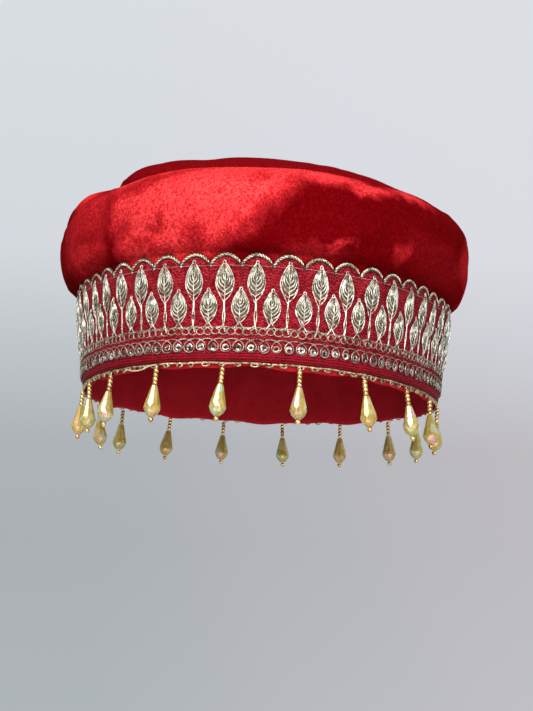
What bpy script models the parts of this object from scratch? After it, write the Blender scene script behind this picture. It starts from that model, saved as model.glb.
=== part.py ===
# Velvet cap: a soft puffed crown on a band, with an embroidered border ribbon and a fringe of bead drops.
# Metres, +Z up. The origin is the middle of the head opening, level with the border's lower edge, and -Y is the front.
import bisect
import math

import bmesh
import bpy
from mathutils import Matrix, Vector

MM = 0.001

# The rim is an egg-shaped, slightly square oval, wider behind than at the forehead. Its two halves meet
# near the widest line, which lies a little in front of the middle
RIM_HALF_WIDTH = 88.0 * MM
RIM_FRONT_LENGTH = 97.0 * MM
RIM_BACK_LENGTH = 103.0 * MM
RIM_FRONT_SQUARENESS = 2.31
RIM_BACK_SQUARENESS = 2.2
RIM_EGG = 0.21
FRONT_FLARE = 2.1 * MM       # how far the band leans out over the border's height, at the front and the back
SIDE_FLARE = 5.2 * MM
GAP = 0.4 * MM               # left between neighbouring pieces

# Border ribbon, with one scallop for each leaf of the embroidery
BORDER_THICKNESS = 1.2 * MM
BORDER_TOP = 45.6 * MM       # top of the cloth at a scallop's crest
BORDER_VALLEY = 40.8 * MM
SCALLOPS = 44
STEPS_PER_SCALLOP = 4
SCALLOP_CORD_RADIUS = 0.7 * MM

# Plain inner band, which the border, the crown and the braid are sewn to
BAND_THICKNESS = 2.2 * MM
BAND_LOW = -3.6 * MM
BAND_HIGH = 40.8 * MM
BAND_SECTIONS = 60

# Narrow braid that carries the drops, under the border's lower edge
BRAID_THICKNESS = 1.2 * MM
BRAID_HEIGHT = 1.9 * MM

# Crown: a gathered side strip and an oval tip, joined by a soft seam
CLOTH_THICKNESS = 1.8 * MM
CROWN_SECTIONS = 48
CROWN_HEM = 41.2 * MM
CROWN_NECK = 47.8 * MM
CROWN_NECK_INSET = 1.6 * MM  # the neck's outer face lies this far inside the border's outer face
SEAM_HEIGHT = 99.5 * MM      # at the cap's sides
SEAM_FRONT_DROP = 10.5 * MM
SEAM_BACK_RISE = 2.5 * MM
TIP_APEX = Vector((-0.002, 0.008, 0.1168))
SEAM_GAP = 0.5 * MM

# The side strip's section above the neck: rise is the share of the way from neck to seam,
# overhang is how far the cloth stands out from the rim, in millimetres
SIDE_SECTION = [
    {"rise": 0.040, "overhang": 4.6},
    {"rise": 0.115, "overhang": 7.7},
    {"rise": 0.228, "overhang": 9.9},
    {"rise": 0.385, "overhang": 11.6},
    {"rise": 0.590, "overhang": 11.9},
    {"rise": 0.765, "overhang": 9.4},
    {"rise": 0.887, "overhang": 3.0},
    {"rise": 0.955, "overhang": -3.4},
    {"rise": 1.000, "overhang": -10.0},
]

LEAN_REACH = 0.45            # share of the rise up to which the strip follows the band's lean at the sides

# Where the seam rides higher or lower than its even line: angle from the front towards +X and half width in
# degrees, lift in millimetres
SEAM_WAVES = [
    {"angle": -46, "width": 15, "lift": 1.5},
    {"angle": -86, "width": 18, "lift": -1.6},
    {"angle": 42, "width": 14, "lift": 1.6},
    {"angle": 76, "width": 18, "lift": -1.6},
    {"angle": 128, "width": 30, "lift": 1.5},
    {"angle": -140, "width": 28, "lift": -1.0},
]

# The tip's rings, as shares of the way from the apex out to the seam
TIP_RINGS = [0.32, 0.60, 0.82, 0.94, 1.0]
TIP_ROUNDNESS_SIDE = 0.62
TIP_ROUNDNESS_FRONT = 1.0

# Main folds of the side strip: angle from the front towards +X and its half width in degrees, the height and
# half height as shares of the rise, the slant in degrees over the whole rise, and the push outwards in millimetres
FOLDS = [
    {"angle": -92, "width": 42, "rise": 0.42, "height": 0.42, "slant": 0, "push": 3.6},
    {"angle": 92, "width": 40, "rise": 0.48, "height": 0.36, "slant": 0, "push": 2.8},
    {"angle": -80, "width": 15, "rise": 0.62, "height": 0.08, "slant": 0, "push": -1.4},
    {"angle": -84, "width": 22, "rise": 0.84, "height": 0.12, "slant": 10, "push": -0.8},
    {"angle": -52, "width": 8, "rise": 0.62, "height": 0.34, "slant": -8, "push": 1.8},
    {"angle": -34, "width": 7, "rise": 0.45, "height": 0.36, "slant": 4, "push": -1.7},
    {"angle": -22, "width": 6, "rise": 0.22, "height": 0.15, "slant": 20, "push": -1.3},
    {"angle": -8, "width": 12, "rise": 0.50, "height": 0.30, "slant": 25, "push": 1.2},
    {"angle": 12, "width": 8, "rise": 0.32, "height": 0.24, "slant": 30, "push": -1.4},
    {"angle": 28, "width": 7, "rise": 0.24, "height": 0.18, "slant": 45, "push": 1.6},
    {"angle": 38, "width": 7, "rise": 0.40, "height": 0.30, "slant": 25, "push": -1.5},
    {"angle": 50, "width": 7, "rise": 0.26, "height": 0.20, "slant": 30, "push": 1.5},
    {"angle": 74, "width": 14, "rise": 0.84, "height": 0.10, "slant": 0, "push": -0.8},
    {"angle": 88, "width": 12, "rise": 0.34, "height": 0.24, "slant": 12, "push": -1.4},
    {"angle": 118, "width": 10, "rise": 0.50, "height": 0.34, "slant": -10, "push": 1.6},
    {"angle": 146, "width": 9, "rise": 0.40, "height": 0.30, "slant": 12, "push": -1.5},
    {"angle": 172, "width": 12, "rise": 0.52, "height": 0.34, "slant": 8, "push": 1.4},
    {"angle": -158, "width": 9, "rise": 0.40, "height": 0.30, "slant": -14, "push": -1.5},
    {"angle": -132, "width": 11, "rise": 0.55, "height": 0.32, "slant": 10, "push": 1.6},
    {"angle": -108, "width": 9, "rise": 0.36, "height": 0.26, "slant": -12, "push": -1.4},
]

# Bead drops, sewn to the braid at an even pitch
DROPS = 18
DROP_PHASE = -0.18           # of one pitch, so that no drop hangs at the exact middle
DROP_SIDES = 10
DROP_INSET = -0.2 * MM       # the string's middle, from the border's outer face
SEED_STRING_RADIUS = 1.0 * MM
SEED_STRING_LENGTH = 7.3 * MM
THREAD_RADIUS = 0.35 * MM
BEAD_LENGTH = 13.8 * MM
BEAD_HOLE_RADIUS = 0.75 * MM
BEAD_GAP = 0.3 * MM
END_BEAD_RADIUS = 1.3 * MM
END_BEAD_LENGTH = 2.0 * MM

# The teardrop's outline: depth is the share of its length from the top, radius in millimetres
TEARDROP = [
    {"depth": 0.00, "radius": 1.45},
    {"depth": 0.66, "radius": 3.75},
    {"depth": 0.86, "radius": 3.05},
    {"depth": 1.00, "radius": 1.50},
]

# How each drop hangs, from the front round towards +X and on round: its shift along the rim in millimetres, then
# how far it leans out from the rim and along it, in degrees
DROP_HANGS = [
    {"shift": -0.5, "out": 4, "along": -4}, {"shift": 0.0, "out": 5, "along": -2},
    {"shift": 0.8, "out": 8, "along": 3}, {"shift": 1.6, "out": 8, "along": 3},
    {"shift": 1.2, "out": 3, "along": 0}, {"shift": -3.0, "out": -3, "along": 2},
    {"shift": 8.0, "out": 2, "along": 2}, {"shift": 0.0, "out": 4, "along": -1},
    {"shift": -0.6, "out": 6, "along": 2}, {"shift": 0.4, "out": 5, "along": -2},
    {"shift": 0.7, "out": 4, "along": 1}, {"shift": -0.5, "out": 6, "along": 3},
    {"shift": 0.0, "out": 5, "along": -1}, {"shift": -10.0, "out": -2, "along": -8},
    {"shift": 6.0, "out": 3, "along": -3}, {"shift": 2.4, "out": -1, "along": -2},
    {"shift": 0.0, "out": 5, "along": -2}, {"shift": 0.6, "out": 4, "along": -1},
]

# Colours are linear red, green and blue
MATERIALS = {
    "velvet_side": {"colour": (0.52, 0.010, 0.016), "roughness": 0.85, "metallic": 0.0},
    "velvet_tip": {"colour": (0.38, 0.006, 0.012), "roughness": 0.85, "metallic": 0.0},
    "band_cloth": {"colour": (0.26, 0.008, 0.012), "roughness": 0.9, "metallic": 0.0},
    "border_weave": {"colour": (0.36, 0.012, 0.022), "roughness": 0.8, "metallic": 0.0},
    "gilt_thread": {"colour": (0.60, 0.52, 0.34), "roughness": 0.38, "metallic": 0.9},
    "braid_thread": {"colour": (0.55, 0.40, 0.16), "roughness": 0.4, "metallic": 0.85},
    "drop_bead": {"colour": (0.86, 0.66, 0.22), "roughness": 0.08, "metallic": 0.0},
    "seed_bead": {"colour": (0.80, 0.60, 0.22), "roughness": 0.25, "metallic": 0.7},
}


def signed_power(value, power):
    return math.copysign(abs(value) ** power, value)


def oval_point(turn):
    """The rim's outline at an angle of turn radians from the front, before it is measured by length."""
    to_front = math.cos(turn) > 0.0
    power = 2.0 / (RIM_FRONT_SQUARENESS if to_front else RIM_BACK_SQUARENESS)
    reach = abs(math.cos(turn)) ** power
    if to_front:
        y = -RIM_FRONT_LENGTH * reach
        widening = -RIM_EGG * reach
    else:
        y = RIM_BACK_LENGTH * reach
        widening = RIM_EGG * reach * (1.0 - reach) * RIM_BACK_LENGTH / RIM_FRONT_LENGTH
    x = RIM_HALF_WIDTH * signed_power(math.sin(turn), power) * (1.0 + widening)
    middle = (RIM_BACK_LENGTH - RIM_FRONT_LENGTH) / 2.0
    return Vector((x, y - middle, 0.0))


class Rim:
    """The rim's outline, read by the share of its length from the front round towards +X."""

    def __init__(self, samples=1440):
        self.points = [oval_point(2.0 * math.pi * i / samples) for i in range(samples + 1)]
        self.along = [0.0]
        for before, after in zip(self.points, self.points[1:]):
            self.along.append(self.along[-1] + (after - before).length)
        self.length = self.along[-1]

    def point(self, share):
        wanted = (share % 1.0) * self.length
        i = min(max(bisect.bisect_right(self.along, wanted) - 1, 0), len(self.points) - 2)
        part = (wanted - self.along[i]) / (self.along[i + 1] - self.along[i])
        return self.points[i].lerp(self.points[i + 1], part)

    def outward(self, share, reach=0.004):
        tangent = self.point(share + reach) - self.point(share - reach)
        return Vector((tangent.y, -tangent.x, 0.0)).normalized()

    def place(self, share, overhang, height):
        spot = self.point(share) + self.outward(share) * overhang
        return Vector((spot.x, spot.y, height))


RIM = Rim()


def flare(share, height):
    sideways = RIM.outward(share).x ** 2
    return (FRONT_FLARE + (SIDE_FLARE - FRONT_FLARE) * sideways) * max(height, 0.0) / BORDER_TOP


def front_share(share):
    """1 at the front, 0 at the sides, -1 at the back."""
    spot = RIM.point(share)
    return -spot.y / math.hypot(spot.x, spot.y)


def degrees_from_front(share):
    spot = RIM.point(share)
    return math.degrees(math.atan2(spot.x, -spot.y))


def degrees_between(angle, other):
    return (angle - other + 180.0) % 360.0 - 180.0


def seam_height(share):
    front = front_share(share)
    height = SEAM_HEIGHT - SEAM_FRONT_DROP * max(front, 0.0) ** 1.3 + SEAM_BACK_RISE * max(-front, 0.0)
    for wave in SEAM_WAVES:
        aside = degrees_between(degrees_from_front(share), wave["angle"])
        height += wave["lift"] * MM * math.exp(-((aside / wave["width"]) ** 2))
    return height


def fold_push(share, rise):
    """How far the folds push the side strip outwards at this place."""
    push = 0.0
    for fold in FOLDS:
        middle = fold["angle"] + fold["slant"] * (rise - fold["rise"])
        aside = degrees_between(degrees_from_front(share), middle)
        above = rise - fold["rise"]
        push += fold["push"] * math.exp(-((aside / fold["width"]) ** 2) - (above / fold["height"]) ** 2)
    return push * MM


def shares(count):
    return [i / count for i in range(count)]


def loft(name, rows, closed_by=None):
    """A surface through rings of equally many points, with a point to close the last ring if one is given."""
    bm = bmesh.new()
    rings = [[bm.verts.new(point) for point in row] for row in rows]
    for lower, upper in zip(rings, rings[1:]):
        for i in range(len(lower)):
            j = (i + 1) % len(lower)
            bm.faces.new((lower[i], lower[j], upper[j], upper[i]))
    if closed_by is not None:
        pole = bm.verts.new(closed_by)
        last = rings[-1]
        for i in range(len(last)):
            bm.faces.new((last[i], last[(i + 1) % len(last)], pole))
    mesh = bpy.data.meshes.new(name)
    bm.to_mesh(mesh)
    bm.free()
    return bpy.data.objects.new(name, mesh)


def thicken_inwards(obj, thickness):
    wall = obj.modifiers.new("wall", "SOLIDIFY")
    wall.thickness = thickness
    wall.offset = -1.0
    wall.use_even_offset = True


def smooth(obj, angle=40.0):
    obj.data.shade_smooth()
    obj.data.set_sharp_from_angle(angle=math.radians(angle))


def material(name):
    found = bpy.data.materials.get(name)
    if found:
        return found
    finish = MATERIALS[name]
    made = bpy.data.materials.new(name)
    made.use_nodes = True
    shader = made.node_tree.nodes["Principled BSDF"]
    shader.inputs["Base Color"].default_value = (*finish["colour"], 1.0)
    shader.inputs["Roughness"].default_value = finish["roughness"]
    shader.inputs["Metallic"].default_value = finish["metallic"]
    return made


def finish(obj, material_name, collection, parent):
    obj.data.materials.append(material(material_name))
    collection.objects.link(obj)
    obj.parent = parent
    return obj


def scallop_height(share):
    """The cloth's upper edge: a row of low arches."""
    phase = (share * SCALLOPS) % 1.0
    return BORDER_VALLEY + (BORDER_TOP - BORDER_VALLEY) * abs(math.sin(math.pi * phase)) ** 0.7


def make_border():
    columns = shares(SCALLOPS * STEPS_PER_SCALLOP)
    lower = [RIM.place(s, 0.0, 0.0) for s in columns]
    upper = [RIM.place(s, flare(s, scallop_height(s)), scallop_height(s)) for s in columns]
    rows = [lower, upper]
    obj = loft("border_ribbon", rows)
    thicken_inwards(obj, BORDER_THICKNESS)
    smooth(obj)
    return obj


def make_scallop_cord():
    data = bpy.data.curves.new("scallop_cord", "CURVE")
    data.dimensions = "3D"
    data.bevel_depth = SCALLOP_CORD_RADIUS
    data.bevel_resolution = 1
    columns = shares(SCALLOPS * STEPS_PER_SCALLOP)
    line = data.splines.new("POLY")
    line.points.add(len(columns) - 1)
    for spot, s in zip(line.points, columns):
        height = scallop_height(s) + GAP + SCALLOP_CORD_RADIUS
        place = RIM.place(s, flare(s, height) - BORDER_THICKNESS / 2.0, height)
        spot.co = (*place, 1.0)
    line.use_cyclic_u = True
    return bpy.data.objects.new("scallop_cord", data)


def make_inner_band():
    outer = -BORDER_THICKNESS - GAP
    edges = (BAND_LOW, BAND_HIGH)
    rows = [[RIM.place(s, outer + flare(s, h), h) for s in shares(BAND_SECTIONS)] for h in edges]
    obj = loft("inner_band", rows)
    thicken_inwards(obj, BAND_THICKNESS)
    smooth(obj)
    return obj


def make_braid():
    top = -GAP
    rows = [[RIM.place(s, 0.0, h) for s in shares(BAND_SECTIONS)] for h in (top - BRAID_HEIGHT, top)]
    obj = loft("drop_braid", rows)
    thicken_inwards(obj, BRAID_THICKNESS)
    smooth(obj)
    return obj


def side_rows():
    columns = shares(CROWN_SECTIONS)
    hem = [RIM.place(s, flare(s, CROWN_HEM) - CROWN_NECK_INSET, CROWN_HEM) for s in columns]
    neck = [RIM.place(s, flare(s, CROWN_NECK) - CROWN_NECK_INSET, CROWN_NECK) for s in columns]
    rows = [hem, neck]
    for level in SIDE_SECTION:
        row = []
        for s in columns:
            height = CROWN_NECK + level["rise"] * (seam_height(s) - CROWN_NECK)
            fade = min(1.0, level["rise"] * 12.0) * min(1.0, (1.0 - level["rise"]) * 8.0)
            lean = (flare(s, CROWN_NECK) - flare(0.0, CROWN_NECK)) * max(1.0 - level["rise"] / LEAN_REACH, 0.0)
            overhang = level["overhang"] * MM + lean + fade * fold_push(s, level["rise"])
            row.append(RIM.place(s, overhang, height))
        rows.append(row)
    return rows


def make_crown_side():
    obj = loft("crown_side", side_rows())
    thicken_inwards(obj, CLOTH_THICKNESS)
    smooth(obj, 60.0)
    return obj


def tip_rise(share, ring):
    """How much of the way from seam to apex the tip has risen: round at the sides, straighter at the front."""
    front = max(front_share(share), 0.0)
    power = TIP_ROUNDNESS_SIDE + (TIP_ROUNDNESS_FRONT - TIP_ROUNDNESS_SIDE) * front
    return (1.0 - ring * ring) ** power


def make_crown_tip():
    seam_overhang = SIDE_SECTION[-1]["overhang"] * MM - SEAM_GAP
    rows = []
    for ring in reversed(TIP_RINGS):
        row = []
        for s in shares(CROWN_SECTIONS):
            edge = RIM.place(s, seam_overhang, seam_height(s))
            spot = TIP_APEX.lerp(edge, ring)
            spot.z = edge.z + (TIP_APEX.z - edge.z) * tip_rise(s, ring)
            row.append(spot)
        rows.append(row)
    obj = loft("crown_tip", rows, closed_by=TIP_APEX)
    thicken_inwards(obj, CLOTH_THICKNESS)
    smooth(obj, 60.0)
    return obj


def turned(name, outline, closed):
    """A turned solid from (radius, height) points given down its outer side."""
    bm = bmesh.new()
    spots = [bm.verts.new((radius, 0.0, height)) for radius, height in outline]
    for before, after in zip(spots, spots[1:]):
        bm.edges.new((before, after))
    if closed:
        bm.edges.new((spots[-1], spots[0]))
    mesh = bpy.data.meshes.new(name)
    bm.to_mesh(mesh)
    bm.free()
    obj = bpy.data.objects.new(name, mesh)
    screw = obj.modifiers.new("turn", "SCREW")
    screw.steps = DROP_SIDES
    screw.render_steps = DROP_SIDES
    screw.use_merge_vertices = True
    screw.merge_threshold = 0.01 * MM
    screw.use_normal_calculate = True
    return obj


def bead_top():
    return -SEED_STRING_LENGTH - BEAD_GAP


def make_string(name):
    """One drop's seed beads as a plain string, the thread through the teardrop, and the bead that stops it."""
    low = bead_top() - BEAD_LENGTH - BEAD_GAP
    outline = [
        (0.0, 0.0),
        (SEED_STRING_RADIUS, 0.0),
        (SEED_STRING_RADIUS, -SEED_STRING_LENGTH),
        (THREAD_RADIUS, -SEED_STRING_LENGTH),
        (THREAD_RADIUS, low),
        (END_BEAD_RADIUS, low - END_BEAD_LENGTH * 0.4),
        (END_BEAD_RADIUS * 0.6, low - END_BEAD_LENGTH),
        (0.0, low - END_BEAD_LENGTH),
    ]
    return turned(name, outline, closed=False)


def make_teardrop(name):
    """A faceted teardrop bead, drilled from end to end."""
    top = bead_top()
    outline = [(row["radius"] * MM, top - row["depth"] * BEAD_LENGTH) for row in TEARDROP]
    hole = [(BEAD_HOLE_RADIUS, top - BEAD_LENGTH), (BEAD_HOLE_RADIUS, top)]
    return turned(name, outline + hole, closed=True)


def drop_matrix(number):
    """Where a drop hangs: its top just under the braid, turned to face outwards and leaning a little."""
    hang = DROP_HANGS[number]
    share = (number + DROP_PHASE) / DROPS + hang["shift"] * MM / RIM.length
    outward = RIM.outward(share)
    top = RIM.place(share, DROP_INSET, -2.0 * GAP - BRAID_HEIGHT)
    facing = Matrix.Rotation(math.atan2(outward.y, outward.x), 4, "Z")
    out = Matrix.Rotation(-math.radians(hang["out"]), 4, "Y")
    along = Matrix.Rotation(math.radians(hang["along"]), 4, "X")
    return Matrix.Translation(top) @ facing @ out @ along


def make_cap():
    for obj in list(bpy.data.objects):
        bpy.data.objects.remove(obj)
    cap = bpy.data.collections.new("velvet_cap")
    bpy.context.scene.collection.children.link(cap)
    frame = bpy.data.objects.new("cap_frame", None)
    cap.objects.link(frame)

    finish(make_crown_side(), "velvet_side", cap, frame)
    finish(make_crown_tip(), "velvet_tip", cap, frame)
    finish(make_inner_band(), "band_cloth", cap, frame)
    finish(make_border(), "border_weave", cap, frame)
    finish(make_scallop_cord(), "gilt_thread", cap, frame)
    finish(make_braid(), "braid_thread", cap, frame)
    for number in range(DROPS):
        label = f"{number + 1:02d}"
        string = finish(make_string("bead_string_" + label), "seed_bead", cap, frame)
        bead = finish(make_teardrop("drop_bead_" + label), "drop_bead", cap, frame)
        string.matrix_world = drop_matrix(number)
        bead.matrix_world = drop_matrix(number)


make_cap()
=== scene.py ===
import bisect
import math
import random

import bmesh
import bpy
from mathutils import Euler, Matrix, Vector, noise
from mathutils.geometry import interpolate_bezier


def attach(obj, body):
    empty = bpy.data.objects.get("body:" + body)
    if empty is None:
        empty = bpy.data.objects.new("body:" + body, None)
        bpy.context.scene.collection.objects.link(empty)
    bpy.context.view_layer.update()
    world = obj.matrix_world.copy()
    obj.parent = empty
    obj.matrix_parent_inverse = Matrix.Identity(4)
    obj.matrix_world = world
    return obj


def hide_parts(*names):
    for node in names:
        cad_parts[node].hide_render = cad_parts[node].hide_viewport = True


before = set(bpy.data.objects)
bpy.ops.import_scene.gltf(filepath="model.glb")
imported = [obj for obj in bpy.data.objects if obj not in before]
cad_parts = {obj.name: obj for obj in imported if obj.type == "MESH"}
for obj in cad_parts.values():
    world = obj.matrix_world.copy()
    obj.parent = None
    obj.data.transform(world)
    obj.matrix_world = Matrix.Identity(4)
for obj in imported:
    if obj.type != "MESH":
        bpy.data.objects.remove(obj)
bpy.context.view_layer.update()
mm = 0.001
scene = bpy.context.scene
rng = random.Random(7)


# The rim, which everything is laid out on. Lengths are in millimetres.
rim = {
    "halfWidth": 88.0, "frontLength": 97.0, "backLength": 103.0,
    "frontSquareness": 2.31, "backSquareness": 2.2, "egg": 0.21,
    "frontFlare": 2.1, "sideFlare": 5.2, "flareHeight": 45.6,
    "scallops": 44, "drops": 18,
}


def rimCorner(turn):
    # the egg-shaped rim, turn in radians from the front
    toFront = math.cos(turn) > 0.0
    power = 2.0 / (rim["frontSquareness"] if toFront else rim["backSquareness"])
    reach = abs(math.cos(turn)) ** power
    if toFront:
        y = -rim["frontLength"] * reach
        widening = -rim["egg"] * reach
    else:
        y = rim["backLength"] * reach
        widening = rim["egg"] * reach * (1.0 - reach) * rim["backLength"] / rim["frontLength"]
    x = rim["halfWidth"] * math.copysign(abs(math.sin(turn)) ** power, math.sin(turn)) * (1.0 + widening)
    return x, y - (rim["backLength"] - rim["frontLength"]) / 2.0


def lengthsAlong(points):
    along = [0.0]
    for a, b in zip(points, points[1:]):
        along.append(along[-1] + (b - a).length)
    return along


def pointAlong(points, along, wanted):
    # the point at a wanted length along a line, and the stretch of the line that it lies on
    i = min(max(bisect.bisect_right(along, wanted) - 1, 0), len(points) - 2)
    part = (wanted - along[i]) / max(along[i + 1] - along[i], 1e-9)
    return points[i].lerp(points[i + 1], part), i


def measureRim(samples=1440, step=0.25, reach=2.4):
    # spots and outward directions every quarter of a millimetre along the rim
    corners = [Vector(rimCorner(2.0 * math.pi * i / samples)) for i in range(samples + 1)]
    along = lengthsAlong(corners)
    length = along[-1]
    count = int(length / step)
    table = []
    for i in range(count):
        back, here, ahead = (pointAlong(corners, along, (length * i / count + shift) % length)[0]
                             for shift in (-reach, 0.0, reach))
        way = (ahead - back).normalized()
        table.append((here.x, here.y, way.y, -way.x))
    return length, table


rimLength, rimTable = measureRim()
repeat = rimLength / rim["scallops"]


def rimSpot(s):
    # x, y and the outward direction at s millimetres from the front towards +X
    where = (s / rimLength % 1.0) * len(rimTable)
    i = int(where)
    pair = zip(rimTable[i % len(rimTable)], rimTable[(i + 1) % len(rimTable)])
    return [a + (b - a) * (where - i) for a, b in pair]


def place(s, out, z):
    x, y, nx, ny = rimSpot(s)
    return Vector(((x + nx * out) * mm, (y + ny * out) * mm, z * mm))


def flare(s, z):
    # the band leans out a little at the front, more at the sides
    sideways = rimSpot(s)[2] ** 2
    lean = rim["frontFlare"] + (rim["sideFlare"] - rim["frontFlare"]) * sideways
    return lean * max(z, 0.0) / rim["flareHeight"]


def ripple(s, z):
    # the ribbon isn't sewn on quite evenly
    a = 2.0 * math.pi * s / rimLength
    return (0.22 * math.sin(9 * a + 0.6) + 0.16 * math.sin(17 * a + 2.0)) * (0.3 + max(z, 0.0) / 60.0)


def onBorder(s, z, lift):
    # a spot on the ribbon's face, lift millimetres above the cloth
    return place(s, flare(s, z) + ripple(s, z) + lift, z)


def smoothStep(low, high, value):
    t = min(max((value - low) / (high - low), 0.0), 1.0)
    return t * t * (3.0 - 2.0 * t)


def bell(away, width):
    return math.exp(-(away / width) ** 2)


def angleAt(s):
    x, y = rimSpot(s)[:2]
    return math.degrees(math.atan2(x, -y))


def frontShare(s):
    # 1 at the front, 0 at the sides, -1 behind
    x, y = rimSpot(s)[:2]
    return -y / math.hypot(x, y)


def degreesBetween(a, b):
    return (a - b + 180.0) % 360.0 - 180.0


def shares(count):
    # from 0 to 1 in count even steps
    return [k / count for k in range(count + 1)]


def roundRim(count):
    # even steps round the whole rim
    return [rimLength * i / count for i in range(count)]


def named(keys, *rows):
    # one dictionary for each row of values
    return [dict(zip(keys.split(), row)) for row in rows]


# Node helpers


def plug(tree, socket, value):
    if hasattr(value, "is_output"):
        tree.links.new(value, socket)
    elif socket.type == "RGBA" and len(value) == 3:
        socket.default_value = (*value, 1.0)
    else:
        socket.default_value = value


def plugAll(tree, made, values):
    for label, value in values.items():
        plug(tree, made.inputs[label], value)


def node(tree, kind, values, **settings):
    # a shader node, its settings made and its sockets filled; gives back its outputs
    made = tree.nodes.new("ShaderNode" + kind)
    for name, value in settings.items():
        setattr(made, name, value)
    plugAll(tree, made, values)
    return made.outputs


def newMaterial(name):
    made = bpy.data.materials.new(name)
    made.use_nodes = True
    tree = made.node_tree
    return made, tree, tree.nodes["Principled BSDF"]


def noiseNode(tree, position, scale, detail=2.0, distortion=0.0, output="Fac"):
    return node(tree, "TexNoise", {"Vector": position, "Scale": scale, "Detail": detail,
                                   "Distortion": distortion})[output]


def ramp(tree, value, stops):
    made = tree.nodes.new("ShaderNodeValToRGB")
    while len(made.color_ramp.elements) < len(stops):
        made.color_ramp.elements.new(0.5)
    for element, (position, colour) in zip(made.color_ramp.elements, stops):
        element.position = position
        element.color = (*colour, 1.0)
    tree.links.new(value, made.inputs["Fac"])
    return made.outputs["Color"]


def mapRange(tree, value, fromLow, fromHigh, toLow, toHigh, kind="LINEAR"):
    return node(tree, "MapRange", dict(enumerate((value, fromLow, fromHigh, toLow, toHigh))),
                interpolation_type=kind)["Result"]


def mixColour(tree, fac, a, b, blend="MIX"):
    return node(tree, "Mix", {0: fac, 6: a, 7: b}, data_type="RGBA", blend_type=blend)[2]


def maths(tree, operation, a, b=0.5, clamp=False):
    return node(tree, "Math", {0: a, 1: b}, operation=operation, use_clamp=clamp)[0]


def vectorMaths(tree, operation, *values):
    return node(tree, "VectorMath", dict(enumerate(values)), operation=operation)


def newGroup(name, inputs, outputs):
    group = bpy.data.node_groups.new(name, "ShaderNodeTree")
    for label, kind, default in inputs:
        socket = group.interface.new_socket(label, in_out="INPUT", socket_type="NodeSocket" + kind)
        if default is not None:
            socket.default_value = default
    for label, kind in outputs:
        group.interface.new_socket(label, in_out="OUTPUT", socket_type="NodeSocket" + kind)
    return group, group.nodes.new("NodeGroupInput").outputs, group.nodes.new("NodeGroupOutput").inputs


def useGroup(tree, group, **inputs):
    return node(tree, "Group", inputs, node_tree=group)


def raised(tree, shader, height, strength, distance):
    bump = node(tree, "Bump", {"Strength": strength, "Distance": distance, "Height": height})
    plug(tree, shader.inputs["Normal"], bump["Normal"])


def coordinates(tree, kind="Object"):
    return node(tree, "TexCoord", {})[kind]


# Metal thread: fine wrapping and uneven tarnish, for every gold piece
def makeMetalThread():
    group, given, out = newGroup(
        "metalThread",
        [("Position", "Vector", None), ("Bright", "Color", (0.7, 0.62, 0.42, 1)),
         ("Dull", "Color", (0.3, 0.24, 0.13, 1)), ("Wrap", "Float", 3200.0), ("Patch", "Float", 160.0)],
        [("Colour", "Color"), ("Roughness", "Float"), ("Height", "Float")])
    wrapping = noiseNode(group, given["Position"], given["Wrap"], 1.0)
    patches = noiseNode(group, given["Position"], given["Patch"], 3.0)
    tone = maths(group, "ADD", maths(group, "MULTIPLY", wrapping, 0.8),
                 maths(group, "MULTIPLY", patches, 0.9))
    mask = mapRange(group, tone, 0.65, 1.0, 0.0, 1.0, "SMOOTHSTEP")
    plug(group, out["Colour"], mixColour(group, mask, given["Dull"], given["Bright"]))
    plug(group, out["Roughness"], mapRange(group, tone, 0.6, 1.05, 0.52, 0.28))
    plug(group, out["Height"], wrapping)
    return group


# Cloth mottle: a coarse and a fine noise, drawn out along the pile, that shade a cloth and raise its surface
def makeClothMottle():
    group, given, out = newGroup(
        "clothMottle",
        [("Position", "Vector", None), ("Pile", "Vector", (1, 1, 1)), ("Coarse", "Float", 60.0),
         ("Fine", "Float", 700.0), ("Fineness", "Float", 0.5)],
        [("Mask", "Float"), ("Height", "Float")])
    drawn = vectorMaths(group, "MULTIPLY", given["Position"], given["Pile"])[0]
    fine = noiseNode(group, drawn, given["Fine"], 2.0)
    coarse = noiseNode(group, drawn, given["Coarse"], 3.0, 0.4)
    both = node(group, "Mix", {0: given["Fineness"], 2: coarse, 3: fine})
    plug(group, out["Mask"], both[0])
    plug(group, out["Height"], fine)
    return group


# Painted light patch: 1 over the core of an oval area, fading to 0 round it; the velvet paints its sheen and
# its crease shade with these
def makePaintedLightPatch():
    group, given, out = newGroup(
        "paintedLightPatch",
        [("Position", "Vector", None), ("Centre", "Vector", (0, 0, 0)), ("Turn", "Vector", (0, 0, 0)),
         ("Reach", "Vector", (0.02, 0.05, 0.02)), ("Core", "Float", 0.55)],
        [("Mask", "Float")])
    local = node(group, "Mapping", {
        "Vector": given["Position"], "Location": given["Centre"], "Rotation": given["Turn"],
        "Scale": given["Reach"]}, vector_type="TEXTURE")[0]
    away = vectorMaths(group, "LENGTH", local)["Value"]
    plug(group, out["Mask"], mapRange(group, away, given["Core"], 1.0, 1.0, 0.0, "SMOOTHSTEP"))
    return group


metalThread = makeMetalThread()
clothMottle = makeClothMottle()
paintedLightPatch = makePaintedLightPatch()


def threadMaterial(name, look):
    made, tree, shader = newMaterial(name)
    shine = useGroup(tree, metalThread, Position=coordinates(tree), Bright=look["bright"], Dull=look["dull"],
                     Wrap=look["wrap"], Patch=look["patch"])
    plugAll(tree, shader, {"Base Color": shine["Colour"], "Roughness": shine["Roughness"],
                           "Metallic": look["metallic"]})
    raised(tree, shader, shine["Height"], look["bump"], 0.0001)
    return made


def tintedMaterial(name, size, detail, stops, looks):
    # its colour is a ramp over a noise
    made, tree, shader = newMaterial(name)
    tint = ramp(tree, noiseNode(tree, coordinates(tree), size, detail), stops)
    plugAll(tree, shader, {"Base Color": tint, **looks})
    return made


# Mesh and thread helpers


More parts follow.
